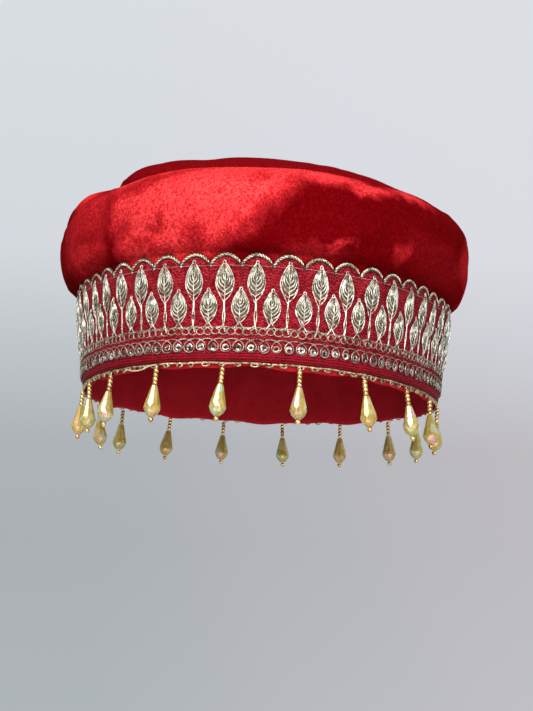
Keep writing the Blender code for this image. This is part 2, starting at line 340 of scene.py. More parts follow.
def meshObject(name, bm, material):
    mesh = bpy.data.meshes.new(name)
    bm.to_mesh(mesh)
    bm.free()
    mesh.materials.append(material)
    return bpy.data.objects.new(name, mesh)


def finishPiece(piece):
    scene.collection.objects.link(piece)
    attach(piece, "root")
    return piece


def finishMesh(name, bm, material, sharp=0):
    # sharp is the angle in degrees above which an edge stays sharp; 0 leaves every face flat
    piece = meshObject(name, bm, material)
    if sharp:
        piece.data.shade_smooth()
        piece.data.set_sharp_from_angle(angle=math.radians(sharp))
    return finishPiece(piece)


def wallInwards(piece, thickness):
    wall = piece.modifiers.new("wall", "SOLIDIFY")
    wall.thickness = thickness * mm
    wall.offset = -1.0


def layCloth(name, cloth, spotAt, material):
    # a flat piece of cloth, laid round the cap by spotAt(share along, share up), its two ends joined
    bm = bmesh.new()
    uvMap = bm.loops.layers.uv.new("cloth")
    bmesh.ops.create_grid(bm, x_segments=cloth["columns"], y_segments=cloth["rows"], size=0.5)
    for face in bm.faces:
        for loop in face.loops:
            loop[uvMap].uv = [(n + 0.5) * size for n, size in zip(loop.vert.co, cloth["size"])]
    for vert in bm.verts:
        vert.co = spotAt(vert.co.x + 0.5, vert.co.y + 0.5)
    bmesh.ops.remove_doubles(bm, verts=bm.verts, dist=0.00002)
    piece = finishMesh(name, bm, material, cloth["sharp"])
    if "wall" in cloth:
        wallInwards(piece, cloth["wall"])
    return piece


def newThreads(name, radius, roundness, material):
    data = bpy.data.curves.new(name, "CURVE")
    data.dimensions = "3D"
    data.bevel_depth = radius * mm
    data.bevel_resolution = roundness
    data.use_fill_caps = True
    data.materials.append(material)
    return bpy.data.objects.new(name, data)


def addThread(piece, spots, closed=False):
    line = piece.data.splines.new("POLY")
    line.points.add(len(spots) - 1)
    line.points.foreach_set("co", [n for spot in spots for n in (*spot, 1.0)])
    line.use_cyclic_u = closed


def oneThread(name, radius, roundness, material, spots, closed=False):
    piece = newThreads(name, radius, roundness, material)
    addThread(piece, spots, closed)
    return finishPiece(piece)


def arc(*corners, steps=7):
    # a smooth curve from the first corner to the last, pulled by the two between
    return interpolate_bezier(*map(Vector, corners), steps + 1)


def softPath(corners, count):
    # count even steps along a smooth curve through the corners
    corners = [Vector(corner) for corner in corners]
    fine = []
    for i, (a, b) in enumerate(zip(corners, corners[1:])):
        before, after = corners[max(i - 1, 0)], corners[min(i + 2, len(corners) - 1)]
        for j in range(12):
            t = j / 12.0
            fine.append(0.5 * (2 * a + (b - before) * t + (2 * before - 5 * a + 4 * b - after) * t * t
                               + (3 * a - before - 3 * b + after) * t ** 3))
    fine.append(corners[-1])
    along = lengthsAlong(fine)
    return [pointAlong(fine, along, along[-1] * k / count)[0] for k in range(count + 1)]


# Velvet
# Two panels of the same crushed velvet. Its colour holds painted sheen and painted shade: it runs from dark
# to bright red, painted brighter in broad patches where the pile catches the light and darker in creases;
# each patch has its centre and reach in metres and its tilt in degrees.

velvet = {
    "dark": (0.100, 0.0002, 0.0012), "middle": (0.27, 0.007, 0.010), "light": (0.49, 0.017, 0.020),
    "bright": (0.74, 0.048, 0.051),
    "sheenTint": (1.0, 0.10, 0.10), "sheen": 0.03, "sheenRoughness": 0.4, "roughness": (0.55, 0.42),
    "pile": (1.0, 1.0, 0.85), "pileSize": 1200.0, "crushSize": 640.0, "fineness": 0.6, "bump": 0.45,
    "bumpDepth": 0.0009, "wander": 0.010, "wanderSize": 120.0, "broadWander": 0.075, "broadSize": 26.0,
    "metal": 0.16, "specular": 0.0, "specularTint": (0.9, 0.2, 0.18),
}
patchKeys = "centre reach tilt core shine"

paintedSheenFront = named(
    patchKeys,
    ((-0.016, -0.085, 0.088), (0.062, 0.07, 0.045), 37, 0.72, 0.74),
    ((-0.044, -0.085, 0.060), (0.022, 0.07, 0.027), 0, 0.45, 0.66),
    ((0.034, -0.085, 0.0835), (0.028, 0.05, 0.0080), -4, 0.25, 0.80),
    ((0.055, -0.085, 0.0805), (0.018, 0.05, 0.0056), 8, 0.15, 0.72),
    ((0.074, -0.075, 0.0845), (0.020, 0.05, 0.0066), -4, 0.15, 0.70),
    ((0.0415, -0.095, 0.0525), (0.0110, 0.05, 0.0036), 24, 0.1, 0.50),
    ((0.028, -0.095, 0.0485), (0.024, 0.05, 0.0055), 6, 0.1, 0.26),
    ((0.070, -0.075, 0.0555), (0.0100, 0.05, 0.0045), 50, 0.1, 0.30),
    ((-0.075, -0.055, 0.064), (0.028, 0.06, 0.026), 0, 0.45, 0.31),
    ((-0.070, -0.075, 0.0755), (0.013, 0.05, 0.0110), 20, 0.2, 0.40),
    ((-0.081, -0.060, 0.0545), (0.016, 0.05, 0.0100), 10, 0.2, 0.46),
    ((0.088, -0.050, 0.058), (0.030, 0.06, 0.016), 0, 0.3, 0.07),
    ((-0.079, -0.045, 0.083), (0.016, 0.05, 0.0075), 30, 0.2, 0.60))
# behind and at the sides, painted sheen in patches with more ragged edges
paintedSheenBehind = named(
    patchKeys,
    ((-0.055, 0.09, 0.072), (0.056, 0.07, 0.027), 24, 0.35, 0.66),
    ((0.045, 0.10, 0.078), (0.060, 0.06, 0.016), -24, 0.2, 0.50),
    ((0.02, 0.10, 0.058), (0.040, 0.06, 0.008), 14, 0.1, 0.34),
    ((0.095, 0.020, 0.066), (0.045, 0.070, 0.018), 30, 0.1, 0.36),
    ((-0.095, 0.030, 0.070), (0.040, 0.045, 0.014), -20, 0.1, 0.34))
# painted shade in the creases and dents of the velvet
paintedCreaseShade = named(
    patchKeys,
    ((0.0075, -0.10, 0.0792), (0.0075, 0.03, 0.0060), 0, 0.1, 0.36),
    ((-0.0206, -0.10, 0.0545), (0.0100, 0.03, 0.0085), 60, 0.1, 0.40),
    ((-0.038, -0.10, 0.058), (0.0095, 0.03, 0.0058), 15, 0.1, 0.36),
    ((-0.0545, -0.09, 0.0605), (0.0085, 0.03, 0.0080), 0, 0.1, 0.28),
    ((-0.045, -0.09, 0.0520), (0.0120, 0.03, 0.0045), -20, 0.1, 0.30),
    ((-0.0635, -0.08, 0.0580), (0.0052, 0.04, 0.0180), 12, 0.1, 0.16),
    ((-0.045, -0.09, 0.0800), (0.034, 0.05, 0.0060), 14, 0.2, 0.44),
    ((-0.036, -0.08, 0.0840), (0.036, 0.05, 0.0040), 10, 0.3, 0.36),
    ((-0.0375, -0.095, 0.061), (0.0036, 0.04, 0.0100), -15, 0.1, 0.36),
    ((-0.097, -0.020, 0.0785), (0.024, 0.07, 0.0055), 0, 0.2, 0.34),
    ((-0.0745, -0.07, 0.0605), (0.0130, 0.05, 0.0055), -8, 0.1, 0.14),
    ((-0.07, 0.10, 0.068), (0.018, 0.05, 0.0140), 40, 0.2, 0.30))


def strongestPaintedPatch(tree, position, patches):
    # the strongest of several painted light patches
    strongest = None
    for patch in patches:
        turn = (0, -math.radians(patch["tilt"]), 0)
        made = useGroup(tree, paintedLightPatch, Position=position, Centre=patch["centre"], Turn=turn,
                        Reach=patch["reach"], Core=patch["core"])
        mask = maths(tree, "MULTIPLY", made["Mask"], patch["shine"])
        strongest = mask if strongest is None else maths(tree, "MAXIMUM", strongest, mask)
    return strongest


def strayed(tree, position, reach, size):
    # the position, pushed about by a noise so that the patches get ragged edges
    wander = noiseNode(tree, position, size, 4.0, output="Color")
    centred = vectorMaths(tree, "SUBTRACT", wander, (0.5, 0.5, 0.5))[0]
    return vectorMaths(tree, "MULTIPLY_ADD", centred, [reach] * 3, position)[0]


def makeVelvet(name, up, down, loose, base):
    made, tree, shader = newMaterial(name)
    position = coordinates(tree)
    # level: how much painted sheen the colour gets, raised by the bright patches and lowered by the painted
    # crease shade
    level = strongestPaintedPatch(tree, strayed(tree, position, velvet["broadWander"], velvet["broadSize"]), loose)
    near = strayed(tree, position, velvet["wander"], velvet["wanderSize"])
    if up:
        level = maths(tree, "MAXIMUM", level, strongestPaintedPatch(tree, near, up))
    level = maths(tree, "ADD", level, base)
    if down:
        level = maths(tree, "SUBTRACT", level, strongestPaintedPatch(tree, near, down))
    pile = useGroup(tree, clothMottle, Position=position, Pile=velvet["pile"], Coarse=velvet["crushSize"],
                    Fine=velvet["pileSize"], Fineness=velvet["fineness"])
    crush = mapRange(tree, pile["Mask"], 0.37, 0.63, -1.0, 1.0)
    crush = maths(tree, "MULTIPLY", crush, mapRange(tree, level, 0.1, 0.7, 0.04, 0.31))
    tone = maths(tree, "ADD", level, crush, True)
    colour = ramp(tree, tone, [(0.1, velvet["dark"]), (0.4, velvet["middle"]), (0.72, velvet["light"]),
                               (1.0, velvet["bright"])])
    plugAll(tree, shader, {
        "Base Color": colour, "Roughness": mapRange(tree, tone, 0.0, 1.0, *velvet["roughness"]),
        "Metallic": mapRange(tree, tone, 0.25, 0.9, 0.0, velvet["metal"]), "Sheen Weight": velvet["sheen"],
        "Sheen Roughness": velvet["sheenRoughness"], "Sheen Tint": velvet["sheenTint"],
        "Specular IOR Level": velvet["specular"], "Specular Tint": velvet["specularTint"]})
    raised(tree, shader, pile["Mask"], velvet["bump"], velvet["bumpDepth"])
    return made


sideVelvet = makeVelvet("sideVelvet", paintedSheenFront, paintedCreaseShade, paintedSheenBehind, 0.12)
# the tip's colour gets its own painted sheen patches
tipVelvet = makeVelvet("tipVelvet", [], [], named(
    patchKeys,
    ((-0.025, 0.050, 0.115), (0.060, 0.035, 0.05), 0, 0.2, 0.36),
    ((0.045, 0.055, 0.112), (0.022, 0.045, 0.05), 0, 0.1, 0.28),
    ((0.02, -0.02, 0.112), (0.045, 0.02, 0.05), 0, 0.1, 0.14)), 0.16)

# The crown's side strip, gathered into the band below and the seam above

crownSide = {
    "columns": 400, "rows": 64, "size": (0.66, 0.075), "wall": 1.3, "sharp": 80.0,
    "hem": 41.4, "neck": 47.8, "inset": 1.6,
    "seam": 99.5, "frontDrop": 10.5, "backRise": 2.5,
    "section": [(0.0, 0.6), (0.04, 4.6), (0.115, 7.7), (0.228, 9.9), (0.385, 11.6), (0.59, 11.9),
                (0.765, 9.4), (0.887, 3.0), (0.955, -3.4), (1.0, -10.0)],
    "gather": 0.9, "crumple": 0.65, "leanReach": 0.45, "welt": 0.5,
    # the neck's share of the cloth's way up, and how the section above it is sampled
    "neckShare": 0.075, "profile": 44.0, "steps": 200,
}

seamWaves = named(
    "angle width lift",
    (-46, 15, -3.2), (-82, 14, -0.4), (42, 14, -0.6), (76, 18, -1.6), (128, 30, 1.5), (-140, 28, -1.0))

# angle and width in degrees, rise and height as shares of the crown's height, push in millimetres
crownFolds = named(
    "angle width rise height slant push",
    (-92, 42, 0.42, 0.42, 0, 3.6), (92, 40, 0.48, 0.36, 0, 2.8), (-80, 15, 0.62, 0.08, 0, -1.4),
    (-84, 22, 0.84, 0.12, 10, -0.8), (-52, 8, 0.62, 0.34, -8, 1.8), (-34, 7, 0.45, 0.36, 4, -1.7),
    (-22, 6, 0.22, 0.15, 20, -1.3), (-8, 12, 0.50, 0.30, 25, 1.2), (12, 8, 0.32, 0.24, 30, -1.4),
    (28, 7, 0.24, 0.18, 45, 1.6), (38, 7, 0.40, 0.30, 25, -1.5), (50, 7, 0.26, 0.20, 30, 1.5),
    (74, 14, 0.84, 0.10, 0, -0.8), (88, 12, 0.34, 0.24, 12, -1.4), (118, 10, 0.50, 0.34, -10, 1.6),
    (146, 9, 0.40, 0.30, 12, -1.5), (172, 12, 0.52, 0.34, 8, 1.4), (-158, 9, 0.40, 0.30, -14, -1.5),
    (-132, 11, 0.55, 0.32, 10, 1.6), (-108, 9, 0.36, 0.26, -12, -1.4), (-93, 13, 0.60, 0.055, 0, -1.8),
    (-96, 14, 0.74, 0.070, 0, 1.5), (-76, 5, 0.42, 0.10, -35, -1.2), (-66, 4, 0.30, 0.12, 30, -1.1),
    (-43, 3.5, 0.28, 0.20, 6, -1.2), (-58, 5, 0.88, 0.07, 0, 1.2), (60, 5, 0.42, 0.12, 40, -0.9),
    (84, 6, 0.88, 0.05, 0, 1.3))


def seamHeight(s):
    front, angle = frontShare(s), angleAt(s)
    height = crownSide["seam"] + crownSide["backRise"] * max(-front, 0.0)
    height -= crownSide["frontDrop"] * max(front, 0.0) ** 1.3
    return height + sum(wave["lift"] * bell(degreesBetween(angle, wave["angle"]), wave["width"])
                        for wave in seamWaves)


def foldPush(angle, rise):
    push = 0.0
    for fold in crownFolds:
        aside = degreesBetween(angle, fold["angle"] + fold["slant"] * (rise - fold["rise"]))
        if abs(aside) < 3.0 * fold["width"]:
            push += fold["push"] * bell(aside, fold["width"]) * bell(rise - fold["rise"], fold["height"])
    return push


sideProfile = softPath([(rise * crownSide["profile"], out) for rise, out in crownSide["section"]],
                       crownSide["steps"])


def sideSpot(share, up):
    s = share * rimLength
    neckShare = crownSide["neckShare"]
    if up < neckShare:
        z = crownSide["hem"] + (crownSide["neck"] - crownSide["hem"]) * up / neckShare
        return place(s, flare(s, z) - crownSide["inset"], z)
    where = (up - neckShare) / (1.0 - neckShare) * crownSide["steps"]
    i = min(int(where), crownSide["steps"] - 1)
    height, out = sideProfile[i].lerp(sideProfile[i + 1], where - i)
    rise = height / crownSide["profile"]
    z = crownSide["neck"] + rise * (seamHeight(s) - crownSide["neck"])
    fade = min(1.0, rise * 12.0) * min(1.0, (1.0 - rise) * 8.0)
    spot = place(s, out, z) / mm
    gathers = noise.noise(Vector((spot.x / 7.5, spot.y / 7.5, rise * 1.5)))
    gathers += 0.6 * noise.noise(Vector((spot.x / 3.6, spot.y / 3.6, rise * 2.5 + 9.0)))
    hold = math.exp(-rise / 0.16) * smoothStep(0.0, 0.05, rise) + 0.55 * math.exp(-(1.0 - rise) / 0.06)
    crumple = noise.noise(spot / 19.0) + 0.5 * noise.noise(spot / 8.5 + Vector((3, 1, 7)))
    push = fade * (foldPush(angleAt(s), rise) + crownSide["crumple"] * crumple)
    push += crownSide["gather"] * hold * gathers
    # low down the cloth follows the band's lean
    lean = flare(s, crownSide["neck"]) - flare(0.0, crownSide["neck"])
    lean *= max(1.0 - rise / crownSide["leanReach"], 0.0)
    return place(s, out + lean + push, z + crownSide["welt"] * bell(rise - 0.985, 0.012))


side = layCloth("crownSide", crownSide, sideSpot, sideVelvet)
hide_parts("crown_side")
print("crown side done")

# The tip, an oval panel sewn in along the seam

crownTip = {
    "columns": 240, "rows": 44, "size": (0.17, 0.09), "wall": 1.3, "sharp": 80.0,
    "seamGap": 0.5, "seamCord": 0.75, "seamCordOut": -10.2,
    "apex": (-2.0, 8.0, 116.8), "roundSide": 0.62, "roundFront": 1.0,
    "pucker": 1.3, "slack": 1.1, "welt": 0.35,
    "shoulder": {"angle": -58, "width": 26, "power": 0.42},   # the tip stands up steeply behind the seam
    "dent": {"x": -24.0, "width": 8.0, "depth": 0.9},   # a shallow dip left of the middle
}


def tipSpot(share, inwards):
    s = share * rimLength
    ring = 1.0 - inwards
    edge = place(s, crownSide["section"][-1][1] - crownTip["seamGap"], seamHeight(s)) / mm
    power = crownTip["roundSide"] + (crownTip["roundFront"] - crownTip["roundSide"]) * max(frontShare(s), 0.0)
    shoulder, dent = crownTip["shoulder"], crownTip["dent"]
    aside = degreesBetween(angleAt(s), shoulder["angle"])
    power += (shoulder["power"] - power) * bell(aside, shoulder["width"])
    apex = Vector(crownTip["apex"])
    spot = apex.lerp(edge, ring)
    spot.z = edge.z + (apex.z - edge.z) * (1.0 - ring * ring) ** power
    pucker = noise.noise(Vector((edge.x / 8.0, edge.y / 8.0, 0.0))) * smoothStep(0.55, 0.97, ring)
    pucker *= 1.0 - smoothStep(0.97, 1.0, ring)
    broad = noise.noise(Vector((spot.x / 38.0, spot.y / 38.0, 4.0))) * (1.0 - ring ** 4)
    spot.z += crownTip["pucker"] * pucker + crownTip["slack"] * broad
    spot.z += crownTip["welt"] * bell(ring - 0.985, 0.01)
    spot.z -= dent["depth"] * bell(spot.x - dent["x"], dent["width"]) * (1.0 - ring ** 6)
    return spot * mm


tip = layCloth("crownTip", crownTip, tipSpot, tipVelvet)
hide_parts("crown_tip")

# the seam's turned-in edge fills the groove between the two panels
oneThread("crownSeam", crownTip["seamCord"], 1, sideVelvet,
          [place(s, crownTip["seamCordOut"], seamHeight(s) - crownTip["seamCord"]) for s in roundRim(600)],
          closed=True)
print("crown tip done")

# The red band inside, with a turned hem below

innerBand = {
    "columns": 300, "rows": 28, "size": (0.6, 0.09), "sharp": 60.0,
    "low": -2.5, "high": 40.9, "face": -1.62, "thickness": 2.1,
    "colour": (0.30, 0.003, 0.008), "worn": (0.44, 0.010, 0.018),
}


def makeBandCloth():
    made, tree, shader = newMaterial("bandCloth")
    cloth = useGroup(tree, clothMottle, Position=coordinates(tree), Coarse=90.0, Fine=1400.0, Fineness=0.6)
    wear = mapRange(tree, cloth["Mask"], 0.35, 0.65, 0.0, 1.0)
    plugAll(tree, shader, {"Base Color": mixColour(tree, wear, innerBand["colour"], innerBand["worn"]),
                           "Roughness": mapRange(tree, cloth["Mask"], 0.3, 0.7, 0.75, 0.95),
                           "Specular IOR Level": 0.15})
    raised(tree, shader, cloth["Height"], 0.5, 0.0003)
    return made


def bandSpot(share, around):
    # round the band's section: up the outer face, over the top, down inside and through the hem
    turn = 2.0 * math.pi * around
    half = innerBand["thickness"] / 2.0
    middle = (innerBand["high"] + innerBand["low"]) / 2.0
    tall = (innerBand["high"] - innerBand["low"]) / 2.0
    c, n = math.cos(turn), math.sin(turn)
    out = innerBand["face"] - half + half * math.copysign(abs(c) ** 0.35, c)
    z = middle + tall * math.copysign(abs(n) ** 0.9, n)
    if z < 0.0:   # the hem hangs unevenly
        a = 2.0 * math.pi * share
        z += (0.55 * math.sin(11 * a + 1.0) + 0.35 * math.sin(23 * a)) * min(1.0, -z / 2.2)
    s = share * rimLength
    return place(s, out + flare(s, z), z)


band = layCloth("innerBand", innerBand, bandSpot, makeBandCloth())
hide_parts("inner_band")
print("inner band done")

# The woven border ribbon

ribbon = {
    "columns": 10 * rim["scallops"], "rows": 20, "size": (rimLength * mm, 0.0456), "wall": 1.1, "sharp": 60.0,
    "top": 45.6, "valley": 40.8,
    "weaveDark": (0.022, 0.0005, 0.003), "weaveMiddle": (0.20, 0.004, 0.010),
    "weaveBright": (0.56, 0.036, 0.046), "thread": (1.35, 0.72), "jog": (0.4, 0.10, 0.0),
    "edge": (0.070, 0.001, 0.006), "edgeBright": (0.26, 0.008, 0.016), "edgeRib": 1.25, "edgeShare": 0.72,
    "edgeEnd": (3.2, 4.0),
}


def scallopHeight(s):
    phase = s / repeat % 1.0
    return ribbon["valley"] + (ribbon["top"] - ribbon["valley"]) * abs(math.sin(math.pi * phase)) ** 0.7


def ribbonSpot(share, up):
    s = share * rimLength
    return onBorder(s, scallopHeight(s) * up, 0.0)


def makeRibbonWeave():
    made, tree, shader = newMaterial("ribbonWeave")
    inMillimetres = vectorMaths(tree, "MULTIPLY", coordinates(tree, "UV"), [1.0 / mm] * 3)[0]
    waver = noiseNode(tree, inMillimetres, 0.3, output="Color")
    jogged = vectorMaths(tree, "MULTIPLY_ADD", waver, ribbon["jog"], inMillimetres)[0]
    bricks = node(tree, "TexBrick", {
        "Vector": jogged, "Color1": ribbon["weaveMiddle"], "Color2": ribbon["weaveBright"],
        "Mortar": ribbon["weaveDark"], "Scale": 1.0, "Mortar Size": 0.19, "Mortar Smooth": 0.6, "Bias": 0.0,
        "Brick Width": ribbon["thread"][0], "Row Height": ribbon["thread"][1]}, offset=0.5)
    up = node(tree, "SeparateXYZ", {0: inMillimetres})["Y"]
    ribs = maths(tree, "SINE", maths(tree, "MULTIPLY", up, 2.0 * math.pi / ribbon["edgeRib"]))
    ribColour = mixColour(tree, mapRange(tree, ribs, -0.7, 1.0, 0.0, 1.0), ribbon["edge"],
                          ribbon["edgeBright"])
    inEdge = mapRange(tree, up, *ribbon["edgeEnd"], ribbon["edgeShare"], 0.0, "SMOOTHSTEP")
    mottle = useGroup(tree, clothMottle, Position=coordinates(tree), Coarse=140.0, Fine=2200.0, Fineness=0.45)
    shading = mixColour(tree, mapRange(tree, mottle["Mask"], 0.3, 0.7, 0.0, 1.0), (0.62, 0.55, 0.6),
                        (1.25, 1.2, 1.2))
    cloth = mixColour(tree, 1.0, mixColour(tree, inEdge, bricks["Color"], ribColour), shading, "MULTIPLY")
    plugAll(tree, shader, {
        "Base Color": cloth, "Roughness": mapRange(tree, mottle["Mask"], 0.3, 0.7, 0.55, 0.8),
        "Specular IOR Level": 0.07, "Specular Tint": (0.9, 0.3, 0.3)})
    height = maths(tree, "SUBTRACT", 1.0, bricks["Fac"])
    height = maths(tree, "ADD", maths(tree, "MULTIPLY", height, mapRange(tree, inEdge, 0.0, 1.0, 1.0, 0.0)),
                   maths(tree, "MULTIPLY", maths(tree, "MULTIPLY", ribs, 0.5), inEdge))
    raised(tree, shader, height, 0.7, 0.0002)
    return made


border = layCloth("borderRibbon", ribbon, ribbonSpot, makeRibbonWeave())
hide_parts("border_ribbon")
print("ribbon done")

# Gold threads
goldLooks = named(
    "name bright dull wrap patch metallic bump",
    ("leafGilt", (0.98, 0.96, 0.83), (0.12, 0.105, 0.055), 2400.0, 420.0, 0.75, 0.6),
    ("loopGilt", (0.58, 0.53, 0.42), (0.085, 0.068, 0.036), 2400.0, 420.0, 0.7, 0.6),
    ("cordGilt", (0.88, 0.80, 0.58), (0.15, 0.11, 0.06), 1500.0, 420.0, 0.8, 0.6),
    ("braidGilt", (0.66, 0.52, 0.30), (0.09, 0.055, 0.025), 1500.0, 500.0, 0.85, 0.6),
    # a dark gold for the cord's core, painted shade in the twist's grooves
    ("grooveShadeGilt", (0.20, 0.13, 0.07), (0.04, 0.02, 0.012), 1500.0, 600.0, 0.6, 0.5),
    ("looseGilt", (0.85, 0.76, 0.52), (0.6, 0.5, 0.3), 2000.0, 150.0, 0.4, 0.3))
golds = {look["name"]: threadMaterial(look["name"], look) for look in goldLooks}


def plainThread(name, colour, other, roughness):
    made, tree, shader = newMaterial(name)
    mask = mapRange(tree, noiseNode(tree, coordinates(tree), 900.0), 0.35, 0.65, 0.0, 1.0)
    plugAll(tree, shader, {"Base Color": mixColour(tree, mask, colour, other), "Roughness": roughness})
    return made


maroonThread = plainThread("maroonThread", (0.018, 0.001, 0.003), (0.07, 0.006, 0.010), 0.8)
pinkThread = plainThread("pinkThread", (0.26, 0.06, 0.07), (0.52, 0.28, 0.26), 0.6)

# Leaf embroidery: two rows of leaves, each a fan of laid threads that bend in to the midrib

leaf = {
    "length": 16.8, "perSide": 5, "thread": 0.215, "stem": 0.23, "halfWidth": 3.75, "eye": 0.62,
    "tallBase": 26.9, "shortBase": 17.0, "shortScale": (0.98, 0.87),
    "pad": 1.0, "uneven": 0.2, "shade": (3.0, 6.0, 8.3), "midrib": (9.2, 7.4, 5.6, 3.8, 2.0, 0.4, -0.8),
}


def leafThreads():
    # one leaf's threads as (x, y) in millimetres, base at the origin and tip up
    threads = []
    for sideSign in (-1.0, 1.0):
        for i in range(leaf["perSide"]):
            t = i / (leaf["perSide"] - 1.0)
            wide = ((leaf["halfWidth"] - 0.4) * (1.0 - t) ** 0.85 + 0.4) / 0.878
            low = 1.2 + 7.3 * t ** 0.95 + (0.35 if sideSign > 0 else 0.0)
            jitter = [rng.uniform(-1, 1) * leaf["uneven"] for _ in range(4)]
            threads.append(arc(
                (sideSign * (0.32 + 0.12 * (1.0 - t)), leaf["length"] - 1.25 - 4.0 * t + jitter[0], 0),
                (sideSign * wide * 0.65 + jitter[1], 13.0 - 2.6 * t, 0),
                (sideSign * wide * 1.60 + jitter[2], low + 2.7 - 1.0 * t, 0),
                (sideSign * 0.10, low + jitter[3], 0)))
    # the outer left thread runs on down to the stem, the right one ends in a small hook
    threads.append(arc((-3.6, 6.9, 0), (-3.5, 3.7, 0), (-1.6, 1.0, 0), (-0.25, -1.6, 0)))
    threads.append(arc((3.6, 6.3, 0), (3.5, 3.1, 0), (1.8, 0.6, 0), (0.3, -0.4, 0)))
    return threads


def padLift(x, y):
    across = max(0.0, 1.0 - (x / (leaf["halfWidth"] + 0.4)) ** 2)
    along = max(0.0, 1.0 - ((y - 9.0) / 9.5) ** 2)
    return leaf["pad"] * across * along


def shadeLeaf(bm, s, base, scaleX, scaleY):
    # a dark sheet under a leaf's threads, painted shade in the gaps between them
    made = bmesh.ops.create_circle(bm, segments=14, radius=1.0, cap_ends=True, cap_tris=True)["verts"]
    for vert in made:
        across = leaf["shade"][0] * vert.co.x * (1.0 - 0.2 * vert.co.y)
        up = leaf["shade"][2] + leaf["shade"][1] * vert.co.y
        vert.co = onBorder(s + across * scaleX, base + up * scaleY, 0.10)


shade = bmesh.new()
leaves = newThreads("leafEmbroidery", leaf["thread"], 0, golds["leafGilt"])
stems = newThreads("leafStems", leaf["stem"], 0, golds["leafGilt"])


def sewLeaf(s, base, scaleX, scaleY, tilt):
    shadeLeaf(shade, s, base, scaleX, scaleY)
    turn = Matrix.Rotation(math.radians(tilt), 2)
    for thread in leafThreads():
        spots = []
        lay = rng.uniform(0.0, 0.18)
        for x, y, lift in thread:
            px, py = turn @ Vector((x * scaleX, y * scaleY))
            spots.append(onBorder(s + px, base + py, 0.16 + lay + padLift(x, y)))
        addThread(leaves, spots)
    eye = []
    for a in (2.0 * math.pi * i / 9.0 for i in range(9)):
        px, py = turn @ Vector((leaf["eye"] * math.sin(a) * scaleX,
                                (leaf["length"] - 0.75 + 0.8 * math.cos(a)) * scaleY))
        eye.append(onBorder(s + px, base + py, 0.45))
    addThread(leaves, eye, closed=True)
    addThread(leaves, [onBorder(s + 0.12 * math.sin(k * 2.1), base + y * scaleY, 0.5 + padLift(0.0, y))
                       for k, y in enumerate(leaf["midrib"])])


for i in range(rim["scallops"]):
    crest = (i + 0.5) * repeat
    tilt = rng.uniform(-2.5, 2.5)
    sewLeaf(crest + rng.uniform(-0.25, 0.25), leaf["tallBase"] + rng.uniform(-0.3, 0.3),
            rng.uniform(0.96, 1.04), rng.uniform(0.98, 1.02), tilt)
    valley = i * repeat
    sewLeaf(valley + rng.uniform(-0.25, 0.25), leaf["shortBase"] + rng.uniform(-0.3, 0.3),
            leaf["shortScale"][0] * rng.uniform(0.96, 1.04), leaf["shortScale"][1] * rng.uniform(0.97, 1.03),
            rng.uniform(-3, 3))
    # the tall leaf's stem: two strands that part and meet, then run off into the loops
    bow = rng.uniform(0.24, 0.54)
    foot = rng.choice((-1, 1))
    for strand in (-1, 1):
        spots = []
        for t in shares(8):
            gap = bow * math.sin(math.pi * smoothStep(0.28, 1.0, t)) + 0.14
            spots.append(onBorder(crest + strand * gap, leaf["tallBase"] - 0.4 - 11.0 * t, 0.32))
        sweep, fall = (foot, 1.6) if strand == foot else (0.25 * strand, 3.0)
        for t in shares(4)[1:]:
            spots.append(onBorder(crest + strand * 0.14 + sweep * 3.0 * t ** 1.6,
                                  leaf["tallBase"] - 11.4 - fall * t, 0.3))
        addThread(stems, spots)
        # the short leaf's two tails cross below it
        addThread(stems, [onBorder(valley + strand * (0.55 - 2.6 * t ** 1.3),
                                   leaf["shortBase"] + 1.5 - 4.4 * t, 0.34 + 0.1 * (strand > 0))
                          for t in shares(6)])
finishPiece(leaves)
finishPiece(stems)
# the dark sheets under the leaves are painted shade between the threads
finishMesh("leafShade", shade, plainThread("shadeThread", (0.045, 0.018, 0.010), (0.20, 0.15, 0.08), 0.8))
print("leaves done")

# Rows of looped thread, and the sequins that the lower row holds

loops = {
    "small": {"count": 176, "back": 2.5, "half": 1.7, "middle": 13.0, "thread": 0.21, "steps": 15,
              "lift": 0.32},
    "large": {"count": 110, "back": 3.55, "half": 2.85, "middle": 6.75, "thread": 0.22, "steps": 18,
              "lift": 0.62},
}
# each ring of a sequin has its radius and how far it stands out
sequin = {"rings": ((0.5, 0.0), (1.0044, 0.05), (1.62, 0.30)), "middle": 5.9, "thickness": 0.1, "sides": 14,
          "tilt": 13}


def sewLoops(name, row):
    piece = newThreads(name, row["thread"], 0, golds["loopGilt"])
    sizes = [rng.uniform(0.84, 1.08) for _ in range(row["count"])]
    lifts = [rng.uniform(-0.22, 0.22) for _ in range(row["count"])]
    spots = []
    for s, size, lift in zip(roundRim(row["count"]), sizes, lifts):
        for k in range(row["steps"]):
            t = 2.0 * math.pi * (k / row["steps"] - 0.5)
            weight = 0.5 + 0.5 * math.cos(t)   # 1 at the loop, 0 on the arc between loops
            grown = 1.0 + (size - 1.0) * weight
            along = s + rimLength / row["count"] * t / (2.0 * math.pi) - row["back"] * grown * math.sin(t)
            z = row["middle"] - row["half"] * grown * math.cos(t) + lift * weight
            spots.append(onBorder(along, z, row["lift"] + 0.22 * math.sin(t)))
    addThread(piece, spots, closed=True)
    return finishPiece(piece)


sewLoops("smallLoops", loops["small"])
sewLoops("sequinLoops", loops["large"])

couching = {"thread": 0.11, "height": 41.6, "waver": 0.35}
oneThread("couchedLine", couching["thread"], 0, pinkThread,
          [onBorder(s, couching["height"] + couching["waver"] * noise.noise(Vector((i / 6.0, 0, 0))), 0.12)
           for i, s in enumerate(roundRim(880))], closed=True)


sequinFilm = tintedMaterial(
    "sequinFilm", 240.0, 3.0,
    [(0.35, (0.16, 0.05, 0.04)), (0.5, (0.42, 0.33, 0.27)), (0.66, (0.92, 0.90, 0.84))],
    {"Metallic": 0.85, "Roughness": 0.16})

